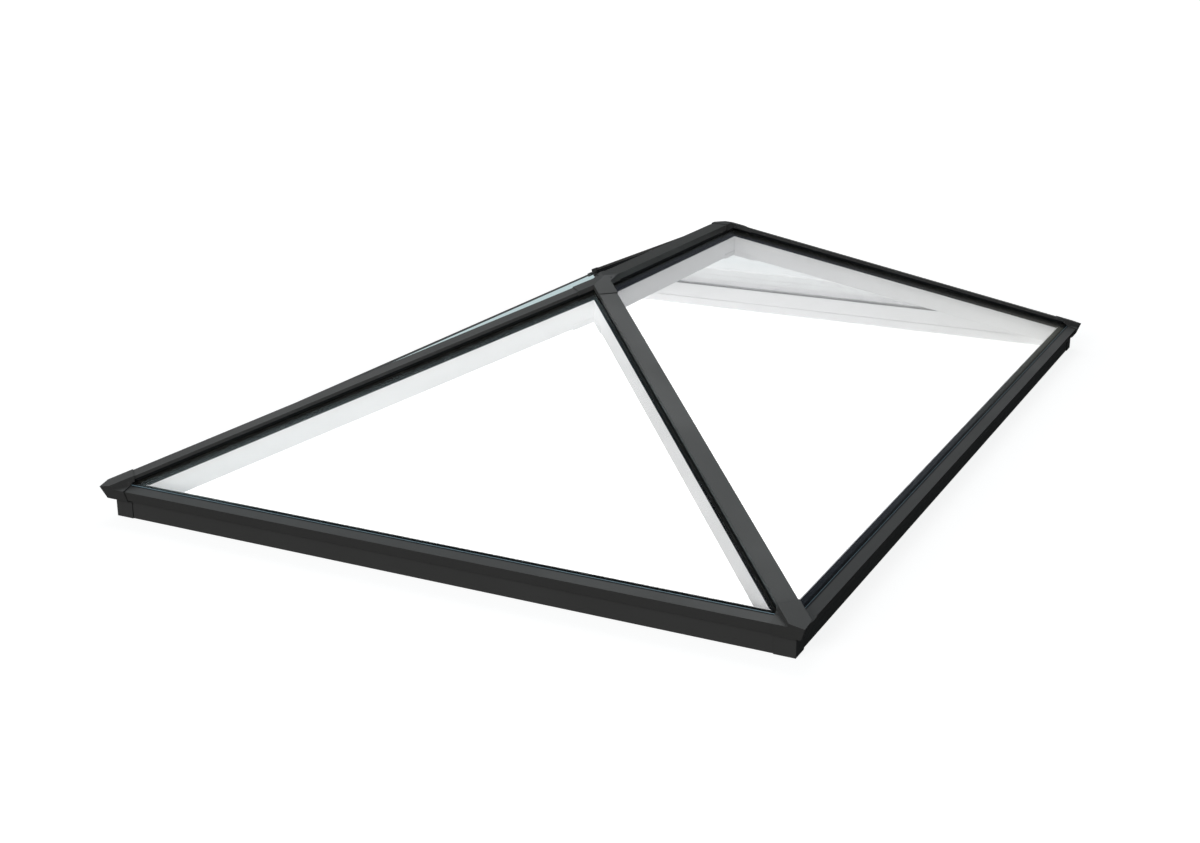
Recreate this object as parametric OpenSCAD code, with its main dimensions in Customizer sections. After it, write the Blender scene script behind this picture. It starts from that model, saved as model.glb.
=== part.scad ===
// Roof lantern: a hipped, four-pane glazed rooflight on a flat rectangular ring beam.
// Lengths are in millimetres. X runs along the ridge, Y across it and Z points up.
// The origin is in the middle of the underside of the ring beam.

/* [Overall size] */
// Width over the outer faces of the ring beam
ring_width = 2000; // [1200:10:3000]
// Length over the outer faces of the ring beam
ring_length = 2980; // [1800:10:6000]
// Slope of all four panes in degrees
roof_pitch = 25; // [20:1:35]
// Height of the outer glass face above the base, at the outer face of the ring beam
glass_line = 96; // [90:1:120]

/* [Ring beam] */
// Width of the ring beam section
ring_depth = 36; // [30:1:60]
// Wall thickness of the ring beam section
ring_wall = 2.5; // [2:0.5:4]
// Thickness of the web that sits on the kerb
ring_base_wall = 3; // [2:0.5:5]
// Distance from the outer face to the middle wall
ring_mid_wall_at = 20; // [16:1:24]
// Diameter of each fixing hole through the base web
fixing_hole_diameter = 6.5; // [5:0.5:8]
// Diameter of each driver access hole through the glazing ledge
access_hole_diameter = 13; // [11:0.5:14]
// Distance from the outer face to the line of fixing holes
fixing_hole_at = 11; // [9.5:0.5:12]
// Distance from a corner of the ring beam to the first fixing hole of a long side
fixing_end_long = 140; // [80:5:200]
// Widest spacing of the fixing holes along a long side
fixing_spacing_long = 900; // [500:10:1000]
// Distance from a corner of the ring beam to the first fixing hole of a short side
fixing_end_short = 400; // [100:10:450]
// Widest spacing of the fixing holes along a short side
fixing_spacing_short = 1200; // [600:10:1500]
// Thickness of the white inner lining
lining_thickness = 2.5; // [2:0.5:4]
// Height of the thicker bottom band of the lining
lining_band_height = 30; // [15:1:40]
// How far the bottom band stands out from the lining
lining_band_step = 1.5; // [1:0.5:3]
// Clearance between the top of the lining and the glass
lining_glass_gap = 0.5; // [0.3:0.1:1]

/* [Eaves bead] */
// How far the bead reaches in over the ring beam
bead_reach_in = 2; // [1:0.5:4]
// How far the top of the bead lies below the outer glass face
bead_drop = 1; // [0.5:0.5:3]
// How far the nose stands out from the ring beam
bead_nose_out = 28; // [20:1:35]
// Height of the nose above the base
bead_nose_height = 87; // [80:1:95]
// How far the lower edge stands out from the ring beam
bead_lower_out = 17; // [12:1:24]
// Height of the lower edge above the base
bead_lower_height = 57; // [52:1:65]
// Height of the foot of the bead on the outer face
bead_foot_height = 50; // [44:1:54]
// Wall thickness of the bead
bead_wall = 2; // [1.5:0.5:3]

/* [Glazing] */
// Thickness of one sheet of glass
glass_thickness = 6; // [4:1:8]
// Thickness of the sealed cavity
cavity_thickness = 12; // [10:1:16]
// Thickness of the rubber seal under the glazing
bed_gasket_thickness = 4; // [3:0.5:5]
// Gap from a hip or ridge line to the edge of the glass, in plan
glass_edge_gap = 8; // [7:0.5:12]
// Distance from the outer face of the ring beam to the edge of the glass
glass_eaves_set = 3; // [2.5:0.5:6]
// How far the spacer bar is set in from the edge of the glass
spacer_set = 1; // [0.5:0.5:3]
// Width of the spacer bar and edge seal at the hips and ridge
spacer_width = 17; // [12:1:19]
// Width of the spacer bar and edge seal at the eaves
spacer_eaves_width = 9; // [8:1:14]
// Width of the rubber seal under the glazing at the hips and ridge
bed_gasket_width = 12; // [8:1:14]
// Width of the rubber seal under the glazing at the eaves
bed_gasket_eaves_width = 14; // [10:1:16]

/* [Hips and ridge] */
// Width of the white rafters and of the ridge beam
rafter_width = 54; // [44:1:60]
// Depth of the exposed side of the rafters
rafter_depth = 59; // [40:1:80]
// Wall thickness of the rafters
rafter_wall = 2.5; // [2:0.5:4]
// Width of the upstand between the panes
upstand_width = 10; // [8:1:12]
// Height of the upstand above the line where the outer glass faces meet
upstand_rise = 2; // [1:0.5:4]
// Height of the flat top of a hip cap above the line where the outer glass faces meet
cap_rise = 7.5; // [6:0.5:12]
// Depth of the sides of a hip cap
cap_side = 9; // [7:0.5:12]
// Wall thickness of the caps
cap_wall = 2; // [1.5:0.5:3]
// Height of the flat top of the ridge cap above the line where the outer glass faces meet
ridge_cap_rise = 14; // [12:0.5:20]
// Depth of the sides of the ridge cap
ridge_cap_side = 18; // [14:0.5:22]
// Width of the boss under each cap that rests on the upstand
cap_boss_width = 6; // [4:1:8]
// Distance from the middle of a cap to its weather seal
seal_at = 17; // [14:0.5:19]
// Width of each weather seal
seal_width = 7; // [5:0.5:7.5]

/* [Corner castings and ridge covers] */
// Wall thickness of the corner castings on the ring beam and bead
casting_wall = 3; // [2:0.5:4]
// Length of each leg of a corner casting along the ring beam
casting_leg = 52; // [50:1:80]
// How far the top of a casting reaches in past the bead
casting_lip = 4; // [3:0.5:8]
// Clearance between the top of a casting and the glass
casting_glass_gap = 1; // [0.5:0.5:2]
// Plan distance along the hip from the ring corner to the end of the casting
casting_hip_end = 48; // [40:1:60]
// Wall thickness of the ridge covers and of the hip part of the castings
cover_wall = 2; // [1.5:0.5:3]
// Plan length of each leg of a ridge cover
cover_leg = 76; // [70:1:100]
// Length of the ridge cap that lies under each ridge cover
cover_lap = 21; // [10:1:40]
// Depth of the sides of a ridge cover on a hip
cover_side = 13; // [10:1:16]
// Depth of the sides of a ridge cover on the ridge
cover_ridge_side = 22; // [18:1:26]
// Plan length of each leg of a soffit cover under the ridge
soffit_leg = 90; // [70:1:120]
// Height of the sides of a soffit cover
soffit_side = 14; // [10:1:25]

/* [Hidden] */
half_w = ring_width / 2;
half_l = ring_length / 2;
ridge_half = half_l - half_w;
hip_turn = 45;
mitre_share = tan(hip_turn / 2);
rise_share = tan(roof_pitch);
hip_angle = atan(rise_share / sqrt(2));
cross_angle = atan(sin(roof_pitch) * sin(hip_turn)
    / (sin(roof_pitch) * cos(hip_turn) * sin(hip_angle) + cos(roof_pitch) * cos(hip_angle)));
unit_thickness = 2 * glass_thickness + cavity_thickness;
bed_depth = unit_thickness + bed_gasket_thickness;
apex_height = glass_line + half_w * rise_share;
half_bar = rafter_width / 2;
lining_face = ring_depth + lining_thickness;
far_in = 3 * casting_leg;
hip_run = half_w * sqrt(2);
hip_length = hip_run / cos(hip_angle);
slack_share = 0.01;
facets = 48;

// Height of a plane parallel to the glass, a set depth below its outer face
function slope_z(d, depth) = glass_line + d * rise_share - depth / cos(roof_pitch);

// Height of the glazing ledge of a hip bar or ridge bar at a distance off its middle
function ledge(l, angle) = -bed_depth / cos(angle) - l * tan(angle);

// A polygon moved inwards by t on every edge, its corners listed anticlockwise
function edge_normal(a, b) = [a[1] - b[1], b[0] - a[0]] / norm(b - a);
function meet(p, u, q, v) = p + u * cross(q - p, v) / cross(u, v);
function inset(p, t) = [for (i = [0 : len(p) - 1])
    let (a = p[(i + len(p) - 1) % len(p)], b = p[i], c = p[(i + 1) % len(p)],
         m = edge_normal(a, b) * t, n = edge_normal(b, c) * t)
    meet(b + m, b - a, b + n, c - b)];

// Section points of the eaves
bead_top = [bead_reach_in, slope_z(bead_reach_in, 0) - bead_drop];
bead_nose = [-bead_nose_out, bead_nose_height];
bead_lower = [-bead_lower_out, bead_lower_height];
bead_foot = [0, bead_foot_height];
bead_outline = [bead_foot, [0, slope_z(0, bed_depth)], [bead_reach_in, slope_z(bead_reach_in, bed_depth)],
    bead_top, bead_nose, bead_lower];
body_outline = [[0, 0], [far_in, 0], [far_in, slope_z(far_in, 0) + casting_glass_gap],
    [bead_reach_in, slope_z(bead_reach_in, 0) + casting_glass_gap], bead_top, bead_nose, bead_lower, bead_foot];

black = "#333436";
white = "#e9eaea";
rubber = "#141415";
clear = "#a9c6c480";
seal_black = "#1c1f22";

// Places a side drawn with x along it, y inwards and z up
module on_side(side) {
    turn = side == "front" ? 0 : side == "back" ? 180 : side == "left" ? -90 : 90;
    reach = (side == "front" || side == "back") ? half_w : half_l;
    rotate([0, 0, turn]) translate([0, -reach, 0]) children();
}

function side_half(side) = (side == "front" || side == "back") ? half_l : half_w;

// The ground taken by one side of the roof between its two hip lines, moved in from them by gap
module sector(side, gap, near, top_gap) {
    h = side_half(side);
    g = gap * sqrt(2);
    long_side = h > half_w;
    far = half_w - top_gap;
    translate([0, 0, -ring_width])
        linear_extrude(height = 2 * ring_width)
            polygon(long_side
                ? [[-(h - near - g), near], [h - near - g, near], [h - far - g, far], [-(h - far - g), far]]
                : [[-(h - near - g), near], [h - near - g, near], [0, h - g]]);
}

// A section drawn in inward distance and height, run along a side
module side_run(side) {
    h = side_half(side) + far_in;
    translate([-h, 0, 0]) rotate([90, 0, 90]) linear_extrude(height = 2 * h) children();
}

module ring_beam(side) {
    h = side_half(side);
    long_side = side == "front" || side == "back";
    span = 2 * (h - (long_side ? fixing_end_long : fixing_end_short));
    bays = max(1, ceil(span / (long_side ? fixing_spacing_long : fixing_spacing_short) - slack_share));
    roof = bed_depth + ring_wall;
    chambers = [[ring_wall, ring_mid_wall_at - ring_wall / 2],
        [ring_mid_wall_at + ring_wall / 2, ring_depth - ring_wall]];
    color(black) on_side(side) difference() {
        intersection() {
            side_run(side) difference() {
                polygon([[0, 0], [ring_depth, 0], [ring_depth, slope_z(ring_depth, bed_depth)],
                    [0, slope_z(0, bed_depth)]]);
                for (c = chambers) polygon([[c[0], ring_base_wall], [c[1], ring_base_wall],
                    [c[1], slope_z(c[1], roof)], [c[0], slope_z(c[0], roof)]]);
            }
            sector(side, 0, 0, 0);
        }
        for (k = [0 : bays]) translate([span * (k / bays - 1 / 2), fixing_hole_at, 0]) {
            translate([0, 0, -ring_base_wall])
                cylinder(d = fixing_hole_diameter, h = 3 * ring_base_wall, $fn = facets);
            translate([0, 0, slope_z(0, bed_depth) / 2])
                cylinder(d = access_hole_diameter, h = glass_line, $fn = facets);
        }
    }
}

// White lining with a thicker foot, and a lip that closes the gap up to the glass between the hip bars
module lining(side) {
    face = lining_face;
    lip_root = bed_depth + lining_thickness;
    lip_top = unit_thickness + lining_glass_gap;
    color(white) on_side(side) {
        intersection() {
            side_run(side) polygon([[ring_depth, 0], [face + lining_band_step, 0],
                [face + lining_band_step, lining_band_height],
                [face, lining_band_height + lining_band_step],
                [face, slope_z(face, bed_depth)], [ring_depth, slope_z(ring_depth, bed_depth)]]);
            sector(side, 0, 0, 0);
        }
        intersection() {
            side_run(side) polygon([[ring_depth, slope_z(ring_depth, lip_root)], [face, slope_z(face, lip_root)],
                [face, slope_z(face, lip_top)], [ring_depth, slope_z(ring_depth, lip_top)]]);
            sector(side, half_bar, 0, 0);
        }
    }
}

module eaves_bead(side) {
    color(black) on_side(side) intersection() {
        side_run(side) difference() {
            polygon(bead_outline);
            polygon(inset(bead_outline, bead_wall));
        }
        sector(side, 0, -2 * bead_nose_out, 0);
    }
}

// Places a hip drawn with x up the hip, y across it and z square to it
module on_hip() {
    translate([-half_l, -half_w, glass_line]) rotate([0, 0, hip_turn]) rotate([0, -hip_angle, 0]) children();
}

// Turns the front left quarter into any of the four quarters
module at_corner(corner) {
    mirror([corner == "front_right" || corner == "back_right" ? 1 : 0, 0, 0])
        mirror([0, corner == "back_left" || corner == "back_right" ? 1 : 0, 0])
            children();
}

// A section drawn across a hip, run up it from the corner to beyond the ridge
module hip_run_of(start, stop) {
    on_hip() translate([start, 0, 0]) rotate([90, 0, 90]) linear_extrude(height = stop - start) children();
}

// The ground of one quarter, bounded by the mitre with the other hip and the mitre with the ridge
module hip_quarter(near, reach) {
    translate([0, 0, -ring_width]) linear_extrude(height = 2 * ring_width)
        polygon([[-half_l + near, -half_w + near], [-half_l + reach, -half_w + near],
            [-ridge_half + rafter_width * mitre_share, -rafter_width],
            [-ridge_half, 0], [-half_l + near, 0]]);
}

function bar_outline(angle) = let (low = ledge(half_bar, angle) - rafter_depth, u = upstand_width / 2) [
    [-half_bar, low], [half_bar, low], [half_bar, ledge(half_bar, angle)], [u, ledge(u, angle)],
    [u, upstand_rise], [-u, upstand_rise], [-u, ledge(u, angle)], [-half_bar, ledge(half_bar, angle)]];

// Rafter and ridge beam section: a box with two sloping ledges and an upstand between the panes
module bar_section(angle) {
    low = ledge(half_bar, angle) - rafter_depth;
    side = half_bar - rafter_wall;
    top = ledge(side, angle) - rafter_wall;
    u = upstand_width / 2;
    difference() {
        polygon(bar_outline(angle));
        polygon([[-side, low + rafter_wall], [side, low + rafter_wall], [side, top],
            [u, ledge(u, angle) - rafter_wall], [-u, ledge(u, angle) - rafter_wall], [-side, top]]);
        translate([-u + rafter_wall, ledge(u, angle) + rafter_wall])
            square([upstand_width - 2 * rafter_wall, upstand_rise - ledge(u, angle) - 2 * rafter_wall]);
    }
}

module upstand_section(angle) {
    u = upstand_width / 2;
    difference() {
        polygon([[-u, ledge(u, angle)], [0, ledge(0, angle)], [u, ledge(u, angle)],
            [u, upstand_rise], [-u, upstand_rise]]);
        translate([-u + rafter_wall, ledge(u, angle) + rafter_wall])
            square([upstand_width - 2 * rafter_wall, upstand_rise - ledge(u, angle) - 2 * rafter_wall]);
    }
}

module hip_rafter(corner) {
    in = lining_face + lining_band_step;
    color(white) at_corner(corner) union() {
        intersection() {
            hip_run_of(0, hip_length + 2 * rafter_width) bar_section(cross_angle);
            hip_quarter(in, half_l);
        }
        intersection() {
            hip_run_of(0, far_in) upstand_section(cross_angle);
            translate([-half_l + glass_eaves_set, -half_w + glass_eaves_set, 0])
                cube([in - glass_eaves_set + rafter_wall, in - glass_eaves_set + rafter_wall, 2 * glass_line]);
        }
    }
}

// Cap section: a flat top with two sides and a boss that rests on the upstand
module cap_section(rise, side) {
    b = cap_boss_width / 2;
    polygon([[half_bar, rise], [-half_bar, rise], [-half_bar, rise - side],
        [-half_bar + cap_wall, rise - side], [-half_bar + cap_wall, rise - cap_wall],
        [-b, rise - cap_wall], [-b, upstand_rise], [b, upstand_rise], [b, rise - cap_wall],
        [half_bar - cap_wall, rise - cap_wall], [half_bar - cap_wall, rise - side], [half_bar, rise - side]]);
}

module hip_cap(corner) {
    color(black) at_corner(corner) intersection() {
        hip_run_of(0, hip_length + 2 * rafter_width) cap_section(cap_rise, cap_side);
        hip_quarter(casting_glass_gap, half_l);
        translate([-half_l, -half_w, -ring_width]) rotate([0, 0, hip_turn])
            translate([casting_hip_end - cover_wall, -half_l, 0]) cube([2 * half_l, 2 * half_l, 3 * ring_width]);
    }
}

// A section drawn across the ridge, run between two points along it
module ridge_run(start, stop) {
    translate([start, 0, apex_height]) rotate([90, 0, 90]) linear_extrude(height = stop - start) children();
}

module ridge_beam() {
    reach = rafter_width;
    color(white) intersection() {
        ridge_run(-ridge_half - reach, ridge_half + reach) bar_section(roof_pitch);
        translate([0, 0, -ring_width]) linear_extrude(height = 3 * ring_width) polygon([
            [-ridge_half, 0], [-ridge_half + reach * mitre_share, -reach], [ridge_half - reach * mitre_share, -reach],
            [ridge_half, 0], [ridge_half - reach * mitre_share, reach], [-ridge_half + reach * mitre_share, reach]]);
    }
}

module ridge_cap() {
    end = ridge_half - cover_leg + cover_lap;
    color(black) ridge_run(-end, end) cap_section(ridge_cap_rise, ridge_cap_side);
}

// Front half of the outer shape of a ridge cover: hip and ridge strips under one sloping plane
// and one level plane, with side depths of their own
module cover_half(half, rise, top, side, ridge_side, leg) {
    intersection() {
        union() {
            intersection() {
                hip_run_of(hip_run - rafter_width, hip_run + 2 * hip_run)
                    translate([-half, rise - side]) square([2 * half, side]);
                translate([-ridge_half, 0, 0]) rotate([0, 0, hip_turn])
                    translate([-leg, -half_l, 0]) cube([3 * leg, 2 * half_l, 3 * ring_width]);
            }
            translate([-ridge_half, -half, apex_height + top - ridge_side])
                cube([leg, half, ridge_side]);
        }
        hip_run_of(0, 3 * hip_run) translate([-half_l, rise - half_l]) square([2 * half_l, half_l]);
        translate([-half_l - far_in, -half_w, 0]) cube([2 * half_l, half_w, apex_height + top]);
    }
}

module both_halves() {
    children();
    mirror([0, 1, 0]) children();
}

module ridge_cover(right) {
    color(black) mirror([right ? 1 : 0, 0, 0]) both_halves() difference() {
        cover_half(half_bar + cover_wall, cap_rise + cover_wall, ridge_cap_rise + cover_wall,
            cover_side, cover_ridge_side, cover_leg);
        cover_half(half_bar, cap_rise, ridge_cap_rise, 3 * cover_side, 3 * cover_ridge_side, 3 * cover_leg);
    }
}

// A tray under the two hips and the ridge beam where they meet, open at the ends of its three legs
module soffit_tray(grow, rise, leg) {
    hip_low = ledge(half_bar, cross_angle) - rafter_depth - grow;
    ridge_low = ledge(half_bar, roof_pitch) - rafter_depth - grow;
    half = half_bar + min(grow, cover_wall);
    both_halves() intersection() {
        hip_run_of(hip_run - 2 * leg, hip_run + 2 * leg)
            translate([-half, hip_low]) square([2 * half, rise]);
        translate([-half_l, -half_w, 0]) cube([half_l, half_w + cover_wall, 3 * ring_width]);
        translate([-ridge_half, 0, 0]) rotate([0, 0, hip_turn])
            translate([-leg, -half_l, 0]) cube([3 * leg, 2 * half_l, 3 * ring_width]);
    }
    translate([-ridge_half - soffit_side, -half, apex_height + ridge_low])
        cube([leg + soffit_side, 2 * half, rise]);
}

module soffit_cover(right) {
    color(white) mirror([right ? 1 : 0, 0, 0]) difference() {
        soffit_tray(2 * cover_wall, soffit_side, soffit_leg);
        soffit_tray(0, 3 * soffit_side, 2 * soffit_leg);
    }
}

// One sheet or layer of a pane between two depths below the outer glass face
module layer(side, near, top_depth, bottom_depth) {
    far = half_w + rafter_width;
    side_run(side) polygon([[near, slope_z(near, bottom_depth)], [far, slope_z(far, bottom_depth)],
        [far, slope_z(far, top_depth)], [near, slope_z(near, top_depth)]]);
}

module glass_pane(side) {
    color(clear) on_side(side)
        for (top = [0, glass_thickness + cavity_thickness]) intersection() {
            layer(side, 0, top, top + glass_thickness);
            sector(side, glass_edge_gap, glass_eaves_set, glass_edge_gap);
        }
}

module spacer(side) {
    outer = glass_edge_gap + spacer_set;
    eaves = glass_eaves_set + spacer_set;
    color(seal_black) on_side(side) difference() {
        intersection() {
            layer(side, 0, glass_thickness, glass_thickness + cavity_thickness);
            sector(side, outer, eaves, outer);
        }
        sector(side, outer + spacer_width, eaves + spacer_eaves_width, outer + spacer_width);
    }
}

module bed_gasket(side) {
    color(rubber) on_side(side) difference() {
        intersection() {
            layer(side, 0, unit_thickness, bed_depth);
            sector(side, half_bar - bed_gasket_width, ring_depth - bed_gasket_eaves_width,
                half_bar - bed_gasket_width);
        }
        sector(side, half_bar, ring_depth, half_bar);
    }
}

// Section of one weather seal between the glass and the cap
module seal_section(angle, top) {
    polygon([[seal_at, -seal_at * tan(angle)], [seal_at + seal_width, -(seal_at + seal_width) * tan(angle)],
        [seal_at + seal_width, top], [seal_at, top]]);
}

module hip_seals() {
    start = casting_hip_end / cos(hip_angle);
    stop = (hip_run - (half_bar + cap_wall)) / cos(hip_angle);
    color(rubber)
        for (corner = ["front_left", "front_right", "back_left", "back_right"]) at_corner(corner)
            hip_run_of(start, stop) {
                seal_section(cross_angle, cap_rise - cap_wall);
                mirror([1, 0]) seal_section(cross_angle, cap_rise - cap_wall);
            }
}

// The seals of the ridge run on under the covers to the foot of the hips
module ridge_seals() {
    end = ridge_half - half_bar;
    color(rubber) ridge_run(-end, end) {
        seal_section(roof_pitch, ridge_cap_rise - cap_wall);
        mirror([1, 0]) seal_section(roof_pitch, ridge_cap_rise - cap_wall);
    }
}

// A section drawn in inward distance and height, run past a ring corner at the origin
module past_corner(swap, stop) {
    mirror(swap ? [1, -1, 0] : [0, 0, 0]) translate([0, stop, 0]) rotate([90, 0, 0])
        linear_extrude(height = stop + far_in) children();
}

// Outline of the eaves with its steep lower face carried on up past the nose
steep = (bead_nose[0] - bead_lower[0]) / (bead_nose[1] - bead_lower[1]);
prow_outline = [[0, 0], [far_in, 0], [far_in, 2 * glass_line],
    [bead_nose[0] + steep * (2 * glass_line - bead_nose[1]), 2 * glass_line], bead_lower, bead_foot];
lip_outline = [[0, 0], [casting_lip, 0], [casting_lip, slope_z(casting_lip, 0) + casting_glass_gap],
    [bead_reach_in, slope_z(bead_reach_in, 0) + casting_glass_gap], bead_top, bead_nose, bead_lower, bead_foot];

module casting_outer() {
    for (swap = [false, true]) intersection() {
        past_corner(swap, casting_leg) polygon(inset(lip_outline, -casting_wall));
        past_corner(!swap, far_in) polygon(inset(body_outline, -casting_wall));
        translate([-far_in, -far_in, 0]) cube(2 * far_in);
    }
    intersection() {
        past_corner(false, far_in) polygon(inset(prow_outline, -casting_wall));
        past_corner(true, far_in) polygon(inset(prow_outline, -casting_wall));
        translate([half_l, half_w, 0]) hip_run_of(-far_in, far_in)
            translate([-half_bar - cover_wall, cap_rise + cover_wall - far_in])
                square([2 * (half_bar + cover_wall), far_in]);
        rotate([0, 0, hip_turn]) translate([casting_hip_end - 2 * far_in, -far_in, 0])
            cube([2 * far_in, 2 * far_in, 2 * far_in]);
    }
}

module casting_void() {
    intersection() {
        past_corner(false, far_in) polygon(body_outline);
        past_corner(true, far_in) polygon(body_outline);
    }
    intersection() {
        past_corner(false, far_in) polygon(prow_outline);
        past_corner(true, far_in) polygon(prow_outline);
        translate([half_l, half_w, 0]) hip_run_of(-far_in, far_in)
            translate([-half_bar, cap_rise - far_in]) square([rafter_width, far_in]);
    }
}

module corner_casting(corner) {
    color(black) at_corner(corner) translate([-half_l, -half_w, 0]) difference() {
        casting_outer();
        casting_void();
    }
}

ring_beam("front");  // ring_beam_front
ring_beam("back");  // ring_beam_back
ring_beam("left");  // ring_beam_left
ring_beam("right");  // ring_beam_right
lining("front");  // lining_front
lining("back");  // lining_back
lining("left");  // lining_left
lining("right");  // lining_right
eaves_bead("front");  // eaves_bead_front
eaves_bead("back");  // eaves_bead_back
eaves_bead("left");  // eaves_bead_left
eaves_bead("right");  // eaves_bead_right
corner_casting("front_left");  // corner_casting_front_left
corner_casting("front_right");  // corner_casting_front_right
corner_casting("back_left");  // corner_casting_back_left
corner_casting("back_right");  // corner_casting_back_right
hip_rafter("front_left");  // hip_rafter_front_left
hip_rafter("front_right");  // hip_rafter_front_right
hip_rafter("back_left");  // hip_rafter_back_left
hip_rafter("back_right");  // hip_rafter_back_right
hip_cap("front_left");  // hip_cap_front_left
hip_cap("front_right");  // hip_cap_front_right
hip_cap("back_left");  // hip_cap_back_left
hip_cap("back_right");  // hip_cap_back_right
ridge_beam();
ridge_cap();
ridge_cover(false);  // ridge_cover_left
ridge_cover(true);  // ridge_cover_right
soffit_cover(false);  // soffit_cover_left
soffit_cover(true);  // soffit_cover_right
glass_pane("front");  // glass_front
glass_pane("back");  // glass_back
glass_pane("left");  // glass_left
glass_pane("right");  // glass_right
spacer("front");  // spacer_front
spacer("back");  // spacer_back
spacer("left");  // spacer_left
spacer("right");  // spacer_right
for (side = ["front", "back", "left", "right"]) bed_gasket(side);  // bed_gaskets
hip_seals();
ridge_seals();
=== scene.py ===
"""Looks, light and camera for a hipped roof lantern built around its fixed frame.

The frame gives every bar, pane, seal and cover. This script gives each one its finish, adds the
fine trim that a fitter would see (sealant, ground glass edges with a painted sky reflection,
seal lips), and sets the studio.
Lengths are in metres, and names that end in _mm are in millimetres. X runs along the ridge, Y
across it and Z points up, with the origin in the middle of the underside of the ring beam.
"""

from __future__ import annotations

import logging
import math
from dataclasses import dataclass, field, fields
from enum import Enum
from typing import Any

import bpy
import numpy as np
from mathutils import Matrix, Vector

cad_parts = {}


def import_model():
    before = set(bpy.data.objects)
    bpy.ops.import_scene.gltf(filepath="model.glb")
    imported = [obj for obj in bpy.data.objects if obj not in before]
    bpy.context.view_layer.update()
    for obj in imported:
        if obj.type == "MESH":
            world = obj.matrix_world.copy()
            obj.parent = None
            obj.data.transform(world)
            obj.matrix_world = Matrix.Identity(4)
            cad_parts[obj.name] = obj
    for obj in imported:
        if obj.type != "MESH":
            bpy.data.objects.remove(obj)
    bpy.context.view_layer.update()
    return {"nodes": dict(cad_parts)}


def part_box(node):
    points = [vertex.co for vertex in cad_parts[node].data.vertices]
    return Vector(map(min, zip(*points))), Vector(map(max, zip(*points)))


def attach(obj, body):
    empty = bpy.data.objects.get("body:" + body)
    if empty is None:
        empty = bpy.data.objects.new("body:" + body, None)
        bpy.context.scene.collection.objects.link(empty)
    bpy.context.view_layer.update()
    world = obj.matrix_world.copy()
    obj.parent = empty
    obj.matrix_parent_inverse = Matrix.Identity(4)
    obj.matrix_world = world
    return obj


LOG = logging.getLogger("roof_lantern")
MM = 0.001
BODY = "root"
MITRE = math.radians(45)
WHITE = "#ffffff"
# Most values of a noise texture lie between these two.
NOISE_LOW, NOISE_HIGH = 0.3, 0.7


class Side(Enum):
    """The four sides of the ring beam, each with the turn that brings the front side to it."""

    FRONT = 0.0
    RIGHT = 90.0
    BACK = 180.0
    LEFT = -90.0

    @property
    def is_long(self) -> bool:
        """True for the two sides that run along the ridge."""
        return self in (Side.FRONT, Side.BACK)


class Corner(Enum):
    """The four corners, each with the signs that mirror the front left corner onto it."""

    FRONT_LEFT = (1.0, 1.0)
    FRONT_RIGHT = (-1.0, 1.0)
    BACK_LEFT = (1.0, -1.0)
    BACK_RIGHT = (-1.0, -1.0)


def linear(hex_colour: str) -> tuple[float, float, float, float]:
    """Turns an sRGB hex colour into linear values.

    Args:
        hex_colour: A colour such as "#3b3c3e".

    Returns:
        Red, green, blue and an alpha of 1, in linear light.
    """
    code = hex_colour.lstrip("#")
    channels = np.array([int(code[i : i + 2], 16) for i in (0, 2, 4)]) / 255.0
    low = channels / 12.92
    high = ((channels + 0.055) / 1.055) ** 2.4
    red, green, blue = np.where(channels <= 0.04045, low, high)
    return float(red), float(green), float(blue), 1.0


def add_node(
    tree: bpy.types.NodeTree, kind: str, inputs: dict[Any, Any] | None = None, **settings: Any
) -> bpy.types.Node:
    """Adds one shader node with its settings, values and links.

    Args:
        tree: The node tree to add to.
        kind: The node's type name.
        inputs: Socket name or number to a plain value, or to the output socket that feeds it.
        **settings: Attributes of the node itself.

    Returns:
        The new node.
    """
    node = tree.nodes.new(kind)
    for name, value in settings.items():
        setattr(node, name, value)
    for key, value in (inputs or {}).items():
        if isinstance(value, bpy.types.NodeSocket):
            tree.links.new(value, node.inputs[key])
        else:
            node.inputs[key].default_value = value
    return node


def blank_material(name: str) -> tuple[bpy.types.Material, bpy.types.NodeTree, bpy.types.Node]:
    """Makes an empty node material.

    Args:
        name: The material's name.

    Returns:
        The material, its node tree and its output node.
    """
    material = bpy.data.materials.new(name)
    material.use_nodes = True
    tree = material.node_tree
    tree.nodes.clear()
    return material, tree, add_node(tree, "ShaderNodeOutputMaterial")


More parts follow.
